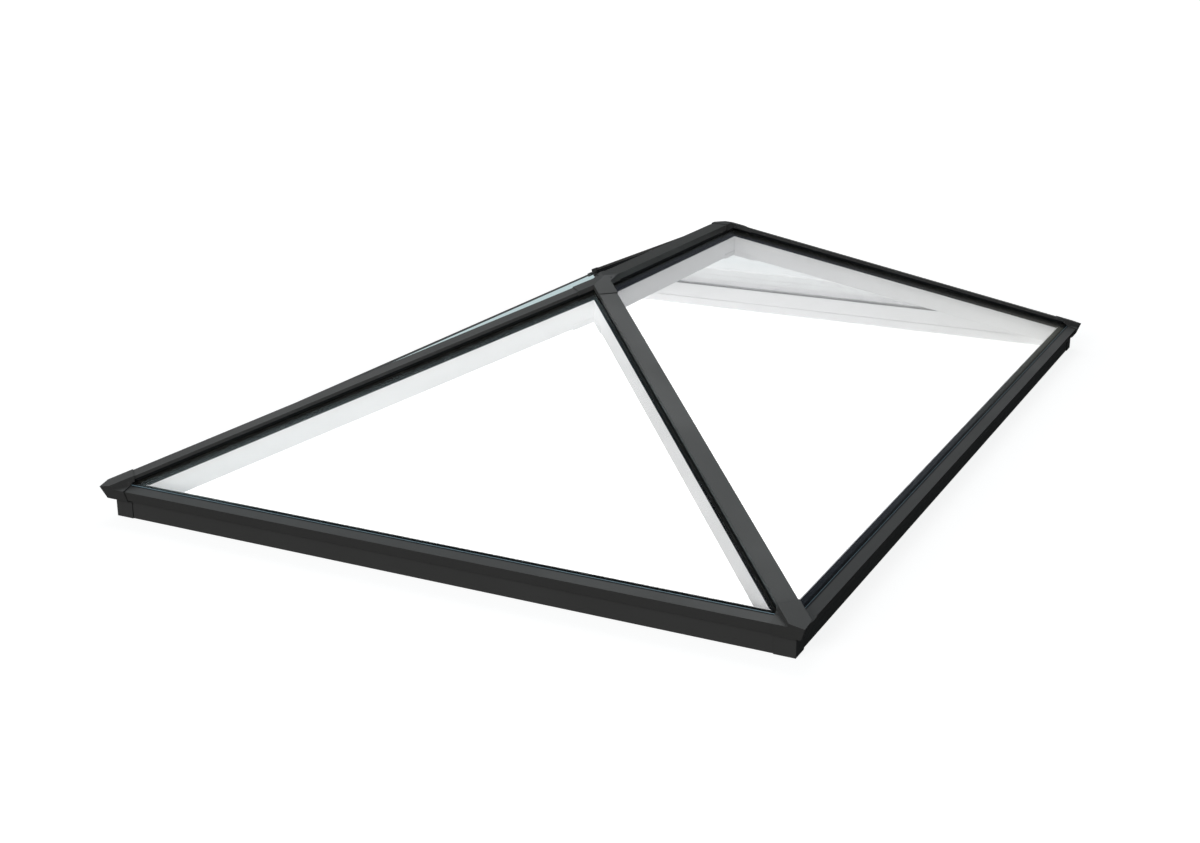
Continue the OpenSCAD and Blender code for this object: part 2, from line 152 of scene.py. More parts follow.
@dataclass(frozen=True)
class SatinCoat:
    """Polyester powder coat or a moulded skin with a satin sheen.

    The baked film levels to a faint orange peel, so edges catch a thin highlight and broad
    faces show a soft, slightly uneven sheen.
    """

    name: str
    colour: str
    shade: str
    roughness: float = 0.42
    roughness_spread: float = 0.06
    cloud_mm: float = 260.0
    peel_mm: float = 7.0
    peel_depth_mm: float = 0.035
    relief: float = 0.5
    edge_radius_mm: float = 0.9
    refraction: float = 1.5

    def material(self) -> bpy.types.Material:
        """Builds the coat: clouded colour, uneven sheen, orange peel and eased edges.

        Returns:
            The new material.
        """
        material, tree, output = blank_material(self.name)
        place = add_node(tree, "ShaderNodeTexCoord").outputs["Object"]
        cloud = add_node(tree, "ShaderNodeTexNoise",
                         {"Vector": place, "Scale": 1.0 / (self.cloud_mm * MM), "Detail": 3.0})
        colour = add_node(tree, "ShaderNodeMix",
                          {"Factor": cloud.outputs["Fac"],
                           6: linear(self.shade), 7: linear(self.colour)}, data_type="RGBA")
        sheen = add_node(tree, "ShaderNodeMapRange",
                         {"Value": cloud.outputs["Fac"],
                          "From Min": NOISE_LOW, "From Max": NOISE_HIGH,
                          "To Min": self.roughness - self.roughness_spread,
                          "To Max": self.roughness + self.roughness_spread})
        # The real peel is about 1.5 mm across. It is drawn coarser so that it shows at all.
        peel = add_node(tree, "ShaderNodeTexNoise",
                        {"Vector": place, "Scale": 1.0 / (self.peel_mm * MM), "Detail": 2.0})
        edge = add_node(tree, "ShaderNodeBevel", {"Radius": self.edge_radius_mm * MM}, samples=4)
        bump = add_node(tree, "ShaderNodeBump",
                        {"Height": peel.outputs["Fac"], "Strength": self.relief,
                         "Distance": self.peel_depth_mm * MM, "Normal": edge.outputs["Normal"]})
        shader = add_node(tree, "ShaderNodeBsdfPrincipled",
                          {"Base Color": colour.outputs[2], "Roughness": sheen.outputs["Result"],
                           "Normal": bump.outputs["Normal"], "IOR": self.refraction})
        tree.links.new(shader.outputs["BSDF"], output.inputs["Surface"])
        return material


@dataclass(frozen=True)
class ExtrudedPlastic:
    """White rigid vinyl drawn through a die: faint lines run along it, under a soft gloss."""

    name: str
    colour: str
    shade: str
    roughness: float = 0.34
    roughness_spread: float = 0.05
    line_mm: float = 5.0
    line_depth_mm: float = 0.03
    relief: float = 0.5
    line_stretch: float = 50.0
    cloud_mm: float = 180.0
    refraction: float = 1.53

    def material(self) -> bpy.types.Material:
        """Builds the plastic: clouded white with shallow die lines stacked in height.

        Returns:
            The new material.
        """
        material, tree, output = blank_material(self.name)
        place = add_node(tree, "ShaderNodeTexCoord").outputs["Object"]
        cloud = add_node(tree, "ShaderNodeTexNoise",
                         {"Vector": place, "Scale": 1.0 / (self.cloud_mm * MM), "Detail": 2.0})
        colour = add_node(tree, "ShaderNodeMix",
                          {"Factor": cloud.outputs["Fac"],
                           6: linear(self.shade), 7: linear(self.colour)}, data_type="RGBA")
        sheen = add_node(tree, "ShaderNodeMapRange",
                         {"Value": cloud.outputs["Fac"],
                          "From Min": NOISE_LOW, "From Max": NOISE_HIGH,
                          "To Min": self.roughness - self.roughness_spread,
                          "To Max": self.roughness + self.roughness_spread})
        # Real die lines are under 1 mm apart. They are drawn wider so that they show at all, and
        # stretched level, so that they change with the height alone.
        level = 1.0 / self.line_stretch
        stretched = add_node(tree, "ShaderNodeMapping",
                             {"Vector": place, "Scale": (level, level, 1.0)})
        lines = add_node(tree, "ShaderNodeTexNoise",
                         {"Vector": stretched.outputs["Vector"],
                          "Scale": 1.0 / (self.line_mm * MM)})
        bump = add_node(tree, "ShaderNodeBump",
                        {"Height": lines.outputs["Fac"], "Strength": self.relief,
                         "Distance": self.line_depth_mm * MM})
        shader = add_node(tree, "ShaderNodeBsdfPrincipled",
                          {"Base Color": colour.outputs[2], "Roughness": sheen.outputs["Result"],
                           "Normal": bump.outputs["Normal"], "IOR": self.refraction})
        tree.links.new(shader.outputs["BSDF"], output.inputs["Surface"])
        return material


@dataclass(frozen=True)
class FloatGlass:
    """Toughened float glass: clear, with the slow roller waves that the furnace leaves.

    It is coated against glare, so that it mirrors less than plain glass does. The low refraction
    stands for the coat.
    """

    name: str = "toughened_float_glass"
    colour: str = "#fefefe"
    refraction: float = 1.22
    wave_mm: float = 280.0
    wave_depth_mm: float = 0.004
    relief: float = 0.3

    def material(self) -> bpy.types.Material:
        """Builds the glass. Lamps shine through it, and its reflections waver slightly.

        Returns:
            The new material.
        """
        material, tree, output = blank_material(self.name)
        place = add_node(tree, "ShaderNodeTexCoord").outputs["Object"]
        wave = add_node(tree, "ShaderNodeTexNoise",
                        {"Vector": place, "Scale": 1.0 / (self.wave_mm * MM), "Detail": 1.0})
        bump = add_node(tree, "ShaderNodeBump",
                        {"Height": wave.outputs["Fac"], "Strength": self.relief,
                         "Distance": self.wave_depth_mm * MM})
        glass = add_node(tree, "ShaderNodeBsdfPrincipled",
                         {"Base Color": linear(self.colour), "Roughness": 0.0,
                          "IOR": self.refraction, "Transmission Weight": 1.0,
                          "Normal": bump.outputs["Normal"]})
        clear = add_node(tree, "ShaderNodeBsdfTransparent", {"Color": linear(self.colour)})
        rays = add_node(tree, "ShaderNodeLightPath")
        mix = add_node(tree, "ShaderNodeMixShader",
                       {0: rays.outputs["Is Shadow Ray"], 1: glass.outputs["BSDF"],
                        2: clear.outputs["BSDF"]})
        tree.links.new(mix.outputs["Shader"], output.inputs["Surface"])
        return material


@dataclass(frozen=True)
class GroundGlass:
    """Edge of a pane, ground with a fine belt, its blue-grey a painted reflection of the sky."""

    name: str = "ground_glass_edge"
    # Both blue-greys are a painted reflection of the sky, mixed by the belt marks.
    colour: str = "#8299a4"
    shade: str = "#6a818c"
    grind_mm: float = 6.0
    grind_depth_mm: float = 0.05
    relief: float = 0.4
    roughness: float = 0.45
    refraction: float = 1.5

    def material(self) -> bpy.types.Material:
        """Builds the ground edge with the short marks of the belt.

        Returns:
            The new material.
        """
        material, tree, output = blank_material(self.name)
        place = add_node(tree, "ShaderNodeTexCoord").outputs["Object"]
        # Real belt marks are under 0.2 mm wide. They are drawn wider so that they show at all.
        marks = add_node(tree, "ShaderNodeTexNoise",
                         {"Vector": place, "Scale": 1.0 / (self.grind_mm * MM), "Detail": 4.0})
        colour = add_node(tree, "ShaderNodeMix",
                          {"Factor": marks.outputs["Fac"],
                           6: linear(self.shade), 7: linear(self.colour)}, data_type="RGBA")
        bump = add_node(tree, "ShaderNodeBump",
                        {"Height": marks.outputs["Fac"], "Strength": self.relief,
                         "Distance": self.grind_depth_mm * MM})
        shader = add_node(tree, "ShaderNodeBsdfPrincipled",
                          {"Base Color": colour.outputs[2], "Roughness": self.roughness,
                           "IOR": self.refraction, "Normal": bump.outputs["Normal"]})
        tree.links.new(shader.outputs["BSDF"], output.inputs["Surface"])
        return material


@dataclass(frozen=True)
class Rubber:
    """Extruded rubber seal or tooled silicone: nearly black, matt, with a dusty bloom in places."""

    name: str
    colour: str = "#121314"
    bloom: str = "#1f2022"
    roughness: float = 0.62
    bloom_mm: float = 40.0
    skin_depth_mm: float = 0.1
    relief: float = 0.3
    refraction: float = 1.5
    gloss_level: float = 0.2

    def material(self) -> bpy.types.Material:
        """Builds the rubber with its faint bloom and skin.

        Returns:
            The new material.
        """
        material, tree, output = blank_material(self.name)
        place = add_node(tree, "ShaderNodeTexCoord").outputs["Object"]
        bloom = add_node(tree, "ShaderNodeTexNoise",
                         {"Vector": place, "Scale": 1.0 / (self.bloom_mm * MM), "Detail": 4.0})
        colour = add_node(tree, "ShaderNodeMix",
                          {"Factor": bloom.outputs["Fac"],
                           6: linear(self.colour), 7: linear(self.bloom)}, data_type="RGBA")
        bump = add_node(tree, "ShaderNodeBump",
                        {"Height": bloom.outputs["Fac"], "Strength": self.relief,
                         "Distance": self.skin_depth_mm * MM})
        shader = add_node(tree, "ShaderNodeBsdfPrincipled",
                          {"Base Color": colour.outputs[2], "Roughness": self.roughness,
                           "IOR": self.refraction, "Specular IOR Level": self.gloss_level,
                           "Normal": bump.outputs["Normal"]})
        tree.links.new(shader.outputs["BSDF"], output.inputs["Surface"])
        return material


@dataclass(frozen=True)
class SpacerBar:
    """Black composite spacer bar: dull, with rows of pinholes for the drying grains behind."""

    name: str = "composite_spacer_bar"
    colour: str = "#161614"
    # Painted shade inside each hole.
    hole: str = "#0c0c0c"
    pitch_mm: float = 9.0
    hole_rim: tuple[float, float] = (0.12, 0.2)
    hole_depth_mm: float = 0.3
    relief: float = 0.6
    roughness: float = 0.7
    refraction: float = 1.5
    gloss_level: float = 0.15

    def material(self) -> bpy.types.Material:
        """Builds the bar with its rows of breathing holes, dented and painted dark as shade.

        Returns:
            The new material.
        """
        material, tree, output = blank_material(self.name)
        place = add_node(tree, "ShaderNodeTexCoord").outputs["Object"]
        # Real holes are about 2 mm apart. They are drawn wider apart so that they show at all.
        holes = add_node(tree, "ShaderNodeTexVoronoi",
                         {"Vector": place, "Scale": 1.0 / (self.pitch_mm * MM), "Randomness": 0.0})
        dot = add_node(tree, "ShaderNodeMapRange",
                       {"Value": holes.outputs["Distance"],
                        "From Min": self.hole_rim[0], "From Max": self.hole_rim[1]})
        # Each hole is painted darker than the bar: painted shade inside the hole.
        colour = add_node(tree, "ShaderNodeMix",
                          {"Factor": dot.outputs["Result"],
                           6: linear(self.hole), 7: linear(self.colour)}, data_type="RGBA")
        bump = add_node(tree, "ShaderNodeBump",
                        {"Height": dot.outputs["Result"], "Strength": self.relief,
                         "Distance": self.hole_depth_mm * MM})
        shader = add_node(tree, "ShaderNodeBsdfPrincipled",
                          {"Base Color": colour.outputs[2], "Roughness": self.roughness,
                           "IOR": self.refraction, "Specular IOR Level": self.gloss_level,
                           "Normal": bump.outputs["Normal"]})
        tree.links.new(shader.outputs["BSDF"], output.inputs["Surface"])
        return material


@dataclass(frozen=True)
class Finishes:
    """Every finish on the lantern, each built once and shared by its pieces."""

    dark_bars: SatinCoat = SatinCoat("dark_powder_coated_aluminium", "#444342", "#3f3e3d")
    dark_mouldings: SatinCoat = SatinCoat(
        "dark_moulded_asa", "#434241", "#3e3d3c", roughness=0.46, peel_mm=5.0, edge_radius_mm=1.2)
    white_bars: SatinCoat = SatinCoat(
        "white_powder_coated_aluminium", "#e8e8e8", "#e3e3e3", roughness=0.36, edge_radius_mm=0.9)
    white_mouldings: SatinCoat = SatinCoat(
        "white_moulded_asa", "#e6e6e6", "#e0e0e0", roughness=0.42, peel_mm=5.0, edge_radius_mm=1.0)
    white_lining: ExtrudedPlastic = ExtrudedPlastic("white_rigid_vinyl", "#e8e8e8", "#e3e3e3")
    glass: FloatGlass = FloatGlass()
    ground_edge: GroundGlass = GroundGlass()
    spacer_bar: SpacerBar = SpacerBar()
    seal: Rubber = Rubber("extruded_rubber_seal")
    sealant: Rubber = Rubber("tooled_silicone", "#131416", "#1b1c1f", roughness=0.4, bloom_mm=25.0)

    def materials(self) -> dict[str, bpy.types.Material]:
        """Builds every finish, in the order above, and files it under its own name."""
        return {entry.name: getattr(self, entry.name).material() for entry in fields(self)}


def dress(item: bpy.types.Object, material: bpy.types.Material) -> None:
    """Gives one object one material.

    Args:
        item: The object to dress.
        material: The finish that all its faces take.
    """
    slots = item.data.materials
    if len(slots):
        for index in range(len(slots)):
            slots[index] = material
    else:
        slots.append(material)


def new_piece(name: str, points: np.ndarray, faces: list[tuple[int, ...]]) -> bpy.types.Object:
    """Makes a mesh object from arrays, at the origin, with outward faces.

    Args:
        name: The piece's name.
        points: Corner places, one row of X, Y, Z each.
        faces: Corner numbers of each face, anticlockwise seen from outside.

    Returns:
        The new object, linked to the scene.
    """
    mesh = bpy.data.meshes.new(name)
    mesh.from_pydata(points.tolist(), [], faces)
    mesh.validate()
    mesh.update()
    item = bpy.data.objects.new(name, mesh)
    bpy.context.scene.collection.objects.link(item)
    return item


def tube_faces(ring: int, rings: int, first: int = 0, flip: bool = False) -> list[tuple[int, ...]]:
    """Faces of a closed tube of rings of points, with both ends shut.

    Each side face joins a point, the next point round its ring, and the same two points of the
    next ring. Each end is one face of a whole ring.

    Args:
        ring: Points in one ring.
        rings: Rings along the tube.
        first: Number of the tube's first point.
        flip: True turns every face round, for a tube that is mirrored.

    Returns:
        The faces, sides first and then the two ends.
    """
    around = np.arange(ring)
    ahead = (around + 1) % ring
    steps = np.arange(rings - 1)[:, None] * ring + first
    corners = (steps + around, steps + ahead, steps + ahead + ring, steps + around + ring)
    sides = np.stack(corners, axis=-1)
    last = first + (rings - 1) * ring
    faces = [tuple(face) for face in sides.reshape(-1, 4).tolist()]
    faces += [tuple((first + around[::-1]).tolist()), tuple((last + around).tolist())]
    return [face[::-1] for face in faces] if flip else faces


@dataclass
class LanternSizes:
    """Sizes that the trim shares with the frame, in metres and degrees."""

    half_length: float
    half_width: float
    pitch_deg: float = 25.0
    glass_line: float = 96 * MM
    glass_eaves_set: float = 3 * MM
    bead_reach_in: float = 2 * MM
    bead_drop: float = 1 * MM
    bead_nose_out: float = 28 * MM
    bead_nose_height: float = 87 * MM
    half_bar: float = 27 * MM
    seal_outer: float = 24 * MM
    casting_hip_end: float = 48 * MM
    cover_leg: float = 76 * MM

    @classmethod
    def from_frame(cls) -> LanternSizes:
        """Reads the ring beam's length and width from the frame."""
        low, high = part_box("ring_beam_front")
        return cls(half_length=float(high[0]), half_width=-float(low[1]))

    @property
    def rise_share(self) -> float:
        """Rise of a pane over its plan run."""
        return math.tan(math.radians(self.pitch_deg))

    @property
    def hip_angle(self) -> float:
        """Slope of a hip line, in radians."""
        return math.atan(self.rise_share / math.sqrt(2))

    @property
    def cross_share(self) -> float:
        """Fall of a pane over the distance off a hip line, in a section square to the hip.

        With the pitch p, the hip's slope h and the hip's 45 degrees in plan, it is
        sin p sin 45 over (sin p cos 45 sin h + cos p cos h).

        Returns:
            The fall as a share of the distance.
        """
        pitch = math.radians(self.pitch_deg)
        return math.sin(pitch) * math.sin(MITRE) / (
            math.sin(pitch) * math.cos(MITRE) * math.sin(self.hip_angle)
            + math.cos(pitch) * math.cos(self.hip_angle))

    @property
    def ridge_half(self) -> float:
        """Half the length of the ridge."""
        return self.half_length - self.half_width

    @property
    def apex(self) -> float:
        """Height of the line where the outer glass faces meet at the ridge."""
        return self.glass_line + self.half_width * self.rise_share

    def half_of(self, side: Side) -> float:
        """Half the length of a side of the ring beam."""
        return self.half_length if side.is_long else self.half_width

    def glass_height(self, inward: np.ndarray | float) -> np.ndarray | float:
        """Height of the outer glass face at a distance inwards from the ring beam's outer face."""
        return self.glass_line + inward * self.rise_share

    def bead_height(self, inward: np.ndarray | float) -> np.ndarray | float:
        """Height of the bead's upper face, on the straight line from its top to its nose.

        Args:
            inward: Distance inwards from the ring beam's outer face.

        Returns:
            The height, one value for each distance.
        """
        top = self.glass_height(self.bead_reach_in) - self.bead_drop
        share = (self.bead_reach_in - inward) / (self.bead_reach_in + self.bead_nose_out)
        return top + (self.bead_nose_height - top) * share


def run_along_side(
    sizes: LanternSizes, side: Side, section: np.ndarray, setback: float
) -> np.ndarray:
    """Carries an eaves section along one side, mitred at both ends.

    A section point at an inward distance d runs along the side to half the side's length, less d,
    less the setback, so that both ends lie on the 45 degree mitres.

    Args:
        sizes: The lantern's sizes.
        side: The side to run along.
        section: Rows of inward distance and height.
        setback: How far each end stays short of the mitre.

    Returns:
        Two rings of points, the start of the run and then its end.
    """
    reach = sizes.half_width if side.is_long else sizes.half_length
    ends = sizes.half_of(side) - section[:, 0] - setback
    rings = [np.stack([sign * ends, section[:, 0] - reach, section[:, 1]], axis=1)
             for sign in (-1.0, 1.0)]
    points = np.concatenate(rings)
    turn = math.radians(side.value)
    cosine, sine = math.cos(turn), math.sin(turn)
    matrix = np.array([[cosine, -sine, 0], [sine, cosine, 0], [0, 0, 1]])
    return points @ matrix.T


def run_along_hip(
    sizes: LanternSizes, corner: Corner, section: np.ndarray, start: float, stop: float
) -> np.ndarray:
    """Carries a section along a hip.

    The section lies in the plane square to the hip. Its first value is the distance off the hip
    line and its second the height square to it. It is tilted up by the hip's slope, turned 45
    degrees in plan onto the front left hip, and mirrored to the corner.

    Args:
        sizes: The lantern's sizes.
        corner: The corner that the hip rises from.
        section: Rows of sideways distance and height.
        start: Where the run starts, along the hip from the ring corner.
        stop: Where it stops.

    Returns:
        Two rings of points, the start of the run and then its end.
    """
    tilt = sizes.hip_angle
    along = np.array([math.cos(tilt) * math.cos(MITRE), math.cos(tilt) * math.sin(MITRE),
                      math.sin(tilt)])
    across = np.array([-math.sin(MITRE), math.cos(MITRE), 0.0])
    square = np.cross(along, across)
    base = np.array([-sizes.half_length, -sizes.half_width, sizes.glass_line])
    rings = [base + distance * along + section[:, :1] * across + section[:, 1:] * square
             for distance in (start, stop)]
    signs = np.array([corner.value[0], corner.value[1], 1.0])
    return np.concatenate(rings) * signs


@dataclass
class Frame:
    """The fixed frame's nodes, sorted by what they are made of."""

    nodes: dict[str, bpy.types.Object]
    finish_of: dict[str, str] = field(default_factory=lambda: {
        "ring_beam": "dark_bars", "eaves_bead": "dark_bars",
        "hip_cap": "dark_bars", "ridge_cap": "dark_bars",
        "corner_casting": "dark_mouldings", "ridge_cover": "dark_mouldings",
        "lining": "white_lining", "soffit_cover": "white_mouldings",
        "hip_rafter": "white_bars", "ridge_beam": "white_bars",
        "glass": "glass", "spacer": "spacer_bar",
        "bed_gaskets": "seal", "hip_seals": "seal", "ridge_seals": "seal"})

    def dress_all(self, materials: dict[str, bpy.types.Material]) -> None:
        """Gives every node of the frame its finish.

        Args:
            materials: Finish name to material.
        """
        for name, item in self.nodes.items():
            stem = max((key for key in self.finish_of if name.startswith(key)), key=len)
            dress(item, materials[self.finish_of[stem]])
            LOG.info("dressed %s in %s", name, self.finish_of[stem])


@dataclass
class EavesTrim:
    """Sealant and ground glass edges along the eaves, where the panes meet the bead."""

    sizes: LanternSizes
    fillet_out: float = 3.0 * MM
    fillet_depth: float = 5.0 * MM
    edge_top: float = 0.6 * MM
    edge_skin: float = 0.25 * MM
    edge_depth: float = 5.5 * MM
    setback: float = 30.0 * MM
    below_glass: float = 0.3 * MM
    least_cover: float = 0.15 * MM
    into_bead: float = 0.1 * MM
    arc_points: int = 7

    def sealant_section(self) -> np.ndarray:
        """Section of the sealant: a concave fillet from bead to glass, and its root in the gap.

        The fillet's top follows a quarter of an ellipse that is level with the bead at its outer
        end and upright at the glass.

        Returns:
            Rows of inward distance and height, clockwise seen along the run.
        """
        reach, glass = self.sizes.bead_reach_in, self.sizes.glass_eaves_set
        outer = reach - self.fillet_out
        low = self.sizes.bead_height(outer)
        high = self.sizes.glass_height(glass) - self.below_glass
        turn = np.linspace(0.0, math.pi / 2, self.arc_points)
        inward = outer + (glass - outer) * np.sin(turn)
        height = low + (high - low) * (1 - np.cos(turn))
        lifted = np.maximum(height, self.sizes.bead_height(inward) + self.least_cover)
        arc = np.stack([inward, np.where(inward < reach, lifted, height)], axis=1)
        root = np.array([[glass, high - self.fillet_depth], [reach, high - self.fillet_depth],
                         [reach, self.sizes.bead_height(reach) - self.into_bead]])
        return np.concatenate([arc, root])

    def edge_section(self) -> np.ndarray:
        """Section of the ground edge: a thin skin over the arris and down the outer sheet's face.

        The outer line stands one skin off the cut face, and the upper line lies one skin above
        the glass, out to the width of the ground strip.

        Returns:
            Rows of inward distance and height, clockwise seen along the run.
        """
        start, skin = self.sizes.glass_eaves_set, self.edge_skin
        inner = start + self.edge_top
        top, far = self.sizes.glass_height(start), self.sizes.glass_height(inner)
        return np.array([[start - skin, top - self.edge_depth], [start - skin, top - skin],
                         [start, top + skin], [inner, far + skin], [inner, far - skin],
                         [start + skin, top - 2 * skin], [start + skin, top - self.edge_depth]])

    def build(self, materials: dict[str, bpy.types.Material]) -> None:
        """Builds the sealant and the ground edge on each side.

        Args:
            materials: Finish name to material.
        """
        # The ground edge's blue-grey is a painted reflection of the sky.
        parts = (("eaves_sealant", self.sealant_section(), "sealant", "rubber"),
                 ("ground_edge", self.edge_section(), "ground_edge", "glass"))
        for side in Side:
            for stem, section, finish, slot in parts:
                name = f"{stem}_{side.name.lower()}"
                points = run_along_side(self.sizes, side, section, self.setback)
                piece = new_piece(name, points, tube_faces(len(section), 2, flip=True))
                dress(piece, materials[finish])
                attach(piece, BODY)
                LOG.info("built %s", name)


@dataclass
class SealLips:
    """Soft lips at the foot of the weather seals, pressed onto the glass beside each cap."""

    sizes: LanternSizes
    flare: float = 2.4 * MM
    height: float = 3.2 * MM
    toe: float = 0.2 * MM
    off_glass: float = 0.02 * MM
    into_seal: float = 0.3 * MM
    casting_gap: float = 8.0 * MM
    ridge_gap: float = 3.0 * MM
    arc_points: int = 6

    def section(self, fall: float) -> np.ndarray:
        """Section of one lip: a flared toe that thins out over the glass.

        The upper line follows a quarter ellipse from the seal's side to the toe, and the lower
        line lies on the glass, which falls away from the bar's middle.

        Args:
            fall: Fall of the glass over the distance off the bar's middle.

        Returns:
            Rows of sideways distance and height, clockwise.
        """
        root = self.sizes.seal_outer
        outer, inner = root + self.flare, root - self.into_seal
        turn = np.linspace(0.0, math.pi / 2, self.arc_points)
        sideways = root + self.flare * (1 - np.cos(turn))
        above = self.height * (1 - np.sin(turn)) + self.toe
        upper = np.stack([sideways, above - sideways * fall], axis=1)
        lower = np.array([[outer, self.off_glass - outer * fall],
                          [inner, self.off_glass - inner * fall],
                          [inner, self.height + self.toe - inner * fall]])
        return np.concatenate([upper, lower])

    def build(self, materials: dict[str, bpy.types.Material]) -> None:
        """Builds the lips of each hip, both sides in one piece, and those of the ridge.

        A hip line is half the width times the root of two, over the cosine of its slope. Its lips
        start beyond the corner casting and stop short of the ridge bar.

        Args:
            materials: Finish name to material.
        """
        size = self.sizes
        section = self.section(size.cross_share)
        run = size.half_width * math.sqrt(2) / math.cos(size.hip_angle)
        start = size.casting_hip_end / math.cos(size.hip_angle) + self.casting_gap
        stop = run - size.half_bar - self.ridge_gap
        for corner in Corner:
            mirrored = corner.value[0] * corner.value[1] < 0
            near = run_along_hip(size, corner, section, start, stop)
            far = run_along_hip(size, corner, section * np.array([-1.0, 1.0]), start, stop)
            faces = tube_faces(len(section), 2, 0, flip=not mirrored)
            faces += tube_faces(len(section), 2, len(near), flip=mirrored)
            name = f"hip_seal_lips_{corner.name.lower()}"
            self.add(name, np.concatenate([near, far]), faces, materials)
        section = self.section(size.rise_share)
        end = size.ridge_half - size.cover_leg
        tubes = []
        for sign in (1.0, -1.0):
            sideways, height = sign * section[:, 0], size.apex + section[:, 1]
            rings = [np.stack([np.full(len(section), along), sideways, height], axis=1)
                     for along in (-end, end)]
            tubes.append(np.concatenate(rings))
        faces = tube_faces(len(section), 2, 0, flip=True)
        faces += tube_faces(len(section), 2, len(tubes[0]))
        self.add("ridge_seal_lips", np.concatenate(tubes), faces, materials)

    def add(self, name: str, points: np.ndarray, faces: list[tuple[int, ...]],
            materials: dict[str, bpy.types.Material]) -> None:
        """Makes one piece of lips and hands it to the frame.

        Args:
            name: The piece's name.
            points: Corner places, one row each.
            faces: Corner numbers of each face.
            materials: Finish name to material.
        """
        piece = new_piece(name, points, faces)
        dress(piece, materials["seal"])
        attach(piece, BODY)
        LOG.info("built %s", name)


@dataclass
class Studio:
    """Plain pale studio: the camera, one far soft lamp, a dim banded sky and a pale floor.

    The sky and the floor are white to the eye, straight and through the glass, and dim in what
    the coats and the panes mirror. What a pane mirrors and what is seen through it are set apart.
    """

    camera_place: tuple[float, float, float] = (-4.7479, -2.1430, 1.6758)
    camera_azimuth_deg: float = 26.722
    camera_elevation_deg: float = -17.954
    lens_mm: float = 49.70
    sensor_mm: float = 36.0
    clip_end: float = 200.0
    floor_half: float = 30.0
    floor_drop: float = 0.5 * MM
    sheet_drop: float = 0.3 * MM
    sheet_inset: float = 20.0 * MM
    key_place: tuple[float, float, float] = (-24.0, 2.2, 10.0)
    key_watts: float = 3200.0
    key_size: float = 13.0
    sky_axis: tuple[float, float, float] = (-0.35, -0.10, 0.93)
    sky_bands: tuple[tuple[float, str], ...] = (
        (0.0, "#2c2d2e"), (0.40, "#494a4a"), (0.47, "#6f7069"), (0.52, "#565a60"),
        (0.58, "#424954"), (0.66, "#7f898e"), (0.73, "#bcc6c9"), (0.787, "#c6dce0"),
        (0.80, "#4c5e64"), (0.84, "#2a3438"), (0.90, "#2c3538"), (1.0, "#989d9f"))
    soft_boxes: tuple[tuple[tuple[float, float, float], float], ...] = (
        ((0.53, 0.20, 0.825), 2.3), ((0.62, 0.72, 0.33), 0.35), ((0.95, 0.02, 0.31), 0.3),
        ((0.38, 0.66, 0.65), 0.4))
    soft_box_edge: tuple[float, float] = (0.965, 0.99)
    sky_in_glass: float = 1.6
    fill: float = 0.68
    fill_axis: tuple[float, float, float] = (0.65, -0.92, 0.0)
    seen_through_glass: float = 1.6
    sky_through_glass: float = 1.35
    floor_colour: str = "#9a9a9a"
    sheet_colour: str = "#f0f0f0"
    floor_mirrored: str = "#c5d8da"
    # What the coats mirror of the floor: painted shade near the lantern, painted light far off.
    floor_sheen: tuple[str, str] = ("#282828", "#505050")
    floor_glow: tuple[float, float] = (0.86, 1.0)
    room_glow: float = 1.2
    near_and_far: tuple[float, float] = (1.9, 4.5)
    # Each step makes a share out of two earlier shares, outputs of the Light Path, or numbers.
    ray_steps: tuple[tuple[str, str, str, str | float], ...] = (
        ("fresh", "LESS_THAN", "Diffuse Depth", 0.5),
        ("unturned", "LESS_THAN", "Glossy Depth", 0.5),
        ("inside", "GREATER_THAN", "Transmission Depth", 0.5),
        ("matt", "GREATER_THAN", "Diffuse Depth", 0.5),
        ("straight", "MULTIPLY", "Is Transmission Ray", "unturned"),
        ("turned", "MULTIPLY", "Is Reflection Ray", "inside"),
        ("mirrored", "MULTIPLY", "Is Singular Ray", "fresh"),
        ("either", "MAXIMUM", "straight", "turned"),
        ("through", "MULTIPLY", "mirrored", "either"),
        ("gathered", "MULTIPLY", "matt", "Is Transmission Ray"))

    def camera(self) -> None:
        """Sets the camera at the photograph's viewing angle."""
        data = bpy.data.cameras.new("camera")
        data.lens, data.sensor_width, data.sensor_fit = self.lens_mm, self.sensor_mm, "HORIZONTAL"
        data.clip_end = self.clip_end
        item = bpy.data.objects.new("camera", data)
        item.location = self.camera_place
        item.rotation_euler = (math.radians(90 + self.camera_elevation_deg), 0.0,
                               math.radians(self.camera_azimuth_deg - 90))
        bpy.context.scene.collection.objects.link(item)
        bpy.context.scene.camera = item

    def lamp(self) -> None:
        """Hangs one large soft lamp far off the left end, aimed at the middle of the lantern."""
        data = bpy.data.lights.new("key", "AREA")
        data.energy, data.size = self.key_watts, self.key_size
        item = bpy.data.objects.new("key", data)
        item.location = self.key_place
        x, y, z = self.key_place
        item.rotation_euler = (math.atan2(math.hypot(x, y), z), 0.0,
                               math.atan2(y, x) + math.pi / 2)
        item.visible_glossy = False
        bpy.context.scene.collection.objects.link(item)

    def seen_shares(self, tree: bpy.types.NodeTree) -> dict[str, bpy.types.NodeSocket]:
        """Sorts the rays by the way they came, so that clear glass shows the white background.

        Args:
            tree: The node tree to add to.

        Returns:
            Sockets that are 1 for their rays and 0 for the rest: "camera" straight from the eye,
            "through" from the eye through glass or off a pane behind it, "mirrored" off the
            outside of a pane, "gathered" by a matt surface through glass, and "sheen" off a coat.
        """
        shares = dict(add_node(tree, "ShaderNodeLightPath").outputs.items())
        for name, operation, first, second in self.ray_steps:
            values = {0: shares[first], 1: shares.get(second, second)}
            step = add_node(tree, "ShaderNodeMath", values, operation=operation)
            shares[name] = step.outputs["Value"]
        shares["camera"], shares["sheen"] = shares["Is Camera Ray"], shares["Is Glossy Ray"]
        return shares

